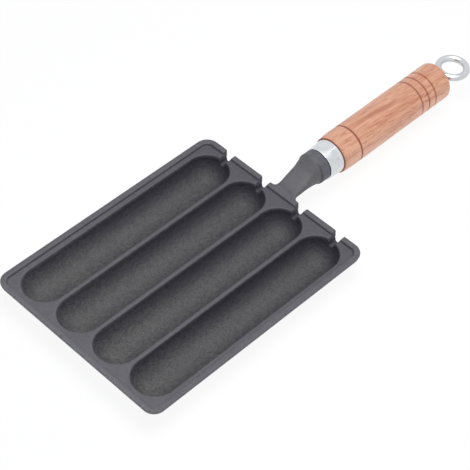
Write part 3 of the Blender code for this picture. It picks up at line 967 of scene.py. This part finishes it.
def wear_highlight_and_shade(tree, colour, sand, y, on_rim):
    """Pale specks, more towards the rim's front edge, edges lighter from wear and painted highlight, and
    hollows darker from grime and painted shade.
    """
    # Paler specks on the rim, more towards the front edge
    front = spread(tree, y, front_y + RIM_WIDTH, front_y, FRONT_PALE_LEAST, FRONT_PALE_MOST)
    front = product(tree, front, on_rim, spread(tree, sand, *FRONT_SPECK_RANGE))
    colour = blend(tree, front, colour, FRONT_PALE_COLOUR)
    edge = attribute(tree, "edge")
    # Wear and painted highlight on the edges
    colour = blend(tree, spread(tree, edge, *EDGE_WEAR_AND_HIGHLIGHT_RANGE), colour, EDGE_WEAR_AND_HIGHLIGHT_COLOUR)
    # Grime and painted shade in the hollows
    return blend(tree, spread(tree, edge, *GRIME_AND_SHADE_RANGE), colour, GRIME_AND_SHADE_COLOUR)


def iron_material():
    """Seasoned cast iron: a fine sandy grain in the troughs, smoother on the land, rim and neck."""
    material, tree, shader = new_material("cast_iron_skin")
    place = object_place(tree)
    x, y, z = node(tree, "ShaderNodeSeparateXYZ", {0: place}).outputs
    patterns = {name: noise(tree, place, *pattern) for name, pattern in IRON_PATTERNS.items()}
    sand, clumps = patterns["sand"], patterns["clumps"]
    masks = iron_masks(tree, y, z)
    colour = plain_iron(tree, patterns, z, masks["land"])
    colour = neck_and_collar(tree, colour, clumps, x, y, masks["neck"])
    colour = shaded_and_darkened(tree, colour, y, z, masks)
    colour = wear_highlight_and_shade(tree, colour, sand, y, masks["rim"])
    rough = spread(tree, masks["land"], 0, 1, TROUGH_ROUGHNESS, LAND_ROUGHNESS)
    rough = calculate(tree, "ADD", rough, spread(tree, clumps, *IRON_ROUGHNESS_RANGE))
    height = calculate(tree, "ADD", sand, product(tree, clumps, CLUMP_HEIGHT_SHARE))
    height = product(tree, height, spread(tree, masks["land"], 0, 1, 1.0, LAND_GRAIN_SHARE))
    normal = bump(tree, height, *IRON_BUMP)
    set_inputs(tree, shader, {"Base Color": colour, "Roughness": rough, "Normal": normal})
    return material


def wood_patterns(tree, place):
    """The patterns of the grain, each drawn out along the grip by its own share."""
    leaning = mapped(tree, place, Rotation=WOOD_LEAN, Location=WOOD_SHIFT)
    patterns = {}
    for name, (along, *pattern) in WOOD_PATTERNS.items():
        patterns[name] = noise(tree, mapped(tree, leaning, Scale=(1, along, 1)), *pattern)
    return patterns


def wood_material():
    """Oiled reddish hardwood: leaning fibres, a lighter figure, open pores, streaks and scorch."""
    material, tree, shader = new_material("grip_wood")
    place = object_place(tree)
    patterns = wood_patterns(tree, place)
    fibres = patterns["fibres"]
    colour = layered(tree, WOOD_COLOUR, patterns, WOOD_LAYERS)
    broken = spread(tree, fibres, *STREAK_RANGE)
    for degrees, from_end, width, length, lean, darkness in WOOD_STREAKS:
        angle = math.radians(degrees)
        streak = fleck(tree, place, angle, grip_radius, grip_end_y - from_end, width, length, lean)
        colour = blend(tree, product(tree, streak, broken, darkness), colour, STREAK_COLOUR)
    colour = blend(tree, attribute(tree, "scorch"), colour, SCORCH_COLOUR)
    rough = spread(tree, fibres, *WOOD_ROUGHNESS_RANGE)
    height = calculate(tree, "ADD", fibres, product(tree, patterns["pores"], PORE_HEIGHT_SHARE))
    normal = bump(tree, height, *WOOD_BUMP)
    set_inputs(tree, shader, {"Base Color": colour, "Roughness": rough, "Normal": normal, **WOOD_SHEEN})
    return material


def ferrule_material():
    """Bright drawn sleeve with faint lines round it, a little handling haze and one dull mark."""
    material, tree, shader = new_material("ferrule_sheet")
    place = object_place(tree)
    lines = noise(tree, mapped(tree, place, Scale=FERRULE_LINE_SCALE), *FERRULE_LINES)
    haze = noise(tree, place, *FERRULE_HAZE)
    colour = blend(tree, spread(tree, haze, *HAZE_RANGE), *FERRULE_COLOURS)
    mark_y = ferrule_low.y + MARK_PLACE
    mark = fleck(tree, place, MARK_ANGLE, FERRULE_FRONT_RADIUS, mark_y, MARK_SIZE, MARK_SIZE)
    colour = blend(tree, product(tree, mark, MARK_STRENGTH), colour, MARK_COLOUR)
    rough = spread(tree, haze, *HAZE_RANGE, *FERRULE_ROUGHNESS)
    normal = bump(tree, lines, *FERRULE_BUMP)
    set_inputs(tree, shader, {"Base Color": colour, "Roughness": rough, "Normal": normal, "Metallic": 1.0})
    return material


def steel_material():
    """Bright plated steel, slightly hazed."""
    material, tree, shader = new_material("plated_steel")
    place = object_place(tree)
    haze = noise(tree, place, *STEEL_HAZE)
    colour = blend(tree, haze, *STEEL_COLOURS)
    rough = spread(tree, haze, *HAZE_RANGE, *STEEL_ROUGHNESS)
    normal = bump(tree, noise(tree, place, *STEEL_RIPPLE), *STEEL_BUMP)
    set_inputs(tree, shader, {"Base Color": colour, "Roughness": rough, "Normal": normal, "Metallic": 1.0})
    return material


def empty_tree(data):
    data.use_nodes = True
    data.node_tree.nodes.clear()
    return data.node_tree


def by_ray(tree, seen, scattered):
    """One look for a ray from the camera, a mirror or glass, and another for scattered light."""
    path = node(tree, "ShaderNodeLightPath").outputs
    direct = calculate(tree, "ADD", path["Is Camera Ray"], path["Is Glossy Ray"])
    direct = calculate(tree, "ADD", direct, path["Is Transmission Ray"])
    direct = calculate(tree, "MINIMUM", direct, 1.0)
    return node(tree, "ShaderNodeMixShader", {0: direct, 1: scattered, 2: seen}).outputs[0]


def glowing(tree, grey, glow):
    """A matt grey that gives off white light as well."""
    matt = node(tree, "ShaderNodeBsdfDiffuse", {"Color": (grey, grey, grey, 1)}).outputs[0]
    light = node(tree, "ShaderNodeEmission", {"Color": WHITE, "Strength": glow}).outputs[0]
    return node(tree, "ShaderNodeAddShader", {0: matt, 1: light}).outputs[0]


def make_floor():
    bm = bmesh.new()
    bmesh.ops.create_grid(bm, x_segments=2, y_segments=2, size=FLOOR_SIZE / 2)
    floor = mesh_object("floor", bm)
    material = bpy.data.materials.new("floor_white")
    tree = empty_tree(material)
    seen = glowing(tree, FLOOR_SEEN_GREY, FLOOR_SEEN_GLOW)
    surface = by_ray(tree, seen, glowing(tree, FLOOR_GREY, FLOOR_GLOW))
    node(tree, "ShaderNodeOutputMaterial", {"Surface": surface})
    floor.data.materials.append(material)


def make_world():
    world = bpy.data.worlds.new("studio")
    tree = empty_tree(world)
    looks = []
    for colour, strength in ((WHITE, WORLD_SEEN_STRENGTH), (WORLD_COLOUR, WORLD_STRENGTH)):
        inputs = {"Color": colour, "Strength": strength}
        looks.append(node(tree, "ShaderNodeBackground", inputs).outputs[0])
    node(tree, "ShaderNodeOutputWorld", {"Surface": by_ray(tree, *looks)})
    bpy.context.scene.world = world


def make_lamp(name, toward, distance, size, watts):
    data = bpy.data.lights.new(name, "AREA")
    data.shape = "RECTANGLE"
    data.size, data.size_y = size
    data.energy = watts
    lamp = bpy.data.objects.new(name, data)
    bpy.context.scene.collection.objects.link(lamp)
    direction = Vector(toward).normalized()
    lamp.location = direction * distance
    lamp.rotation_mode = "QUATERNION"
    lamp.rotation_quaternion = direction.to_track_quat("Z", "Y")


def make_camera():
    azimuth, elevation = CAMERA_AZIMUTH, CAMERA_ELEVATION
    level = math.cos(elevation)
    back = Vector((math.sin(azimuth) * level, -math.cos(azimuth) * level, math.sin(elevation)))
    right = Vector((math.cos(azimuth), math.sin(azimuth), 0))
    rolled = Matrix.Rotation(CAMERA_ROLL, 3, back)
    right = rolled @ right
    up = back.cross(right)
    data = bpy.data.cameras.new("camera")
    data.lens = CAMERA_LENS
    camera = bpy.data.objects.new("camera", data)
    bpy.context.scene.collection.objects.link(camera)
    target = Vector((CAMERA_TARGET_X, CAMERA_TARGET_Y, land_z))
    turn = Matrix((right, up, back)).transposed().to_4x4()
    camera.matrix_world = Matrix.Translation(target + back * CAMERA_DISTANCE) @ turn
    bpy.context.scene.camera = camera


make_camera()
make_casting(iron_material())
make_ferrule(ferrule_material())
make_grip(wood_material())
make_eye(steel_material())
make_floor()
make_world()
make_lamp(**KEY_LIGHT)
make_lamp(**STRIP_LIGHT)
bpy.context.scene.view_settings.view_transform = "Standard"
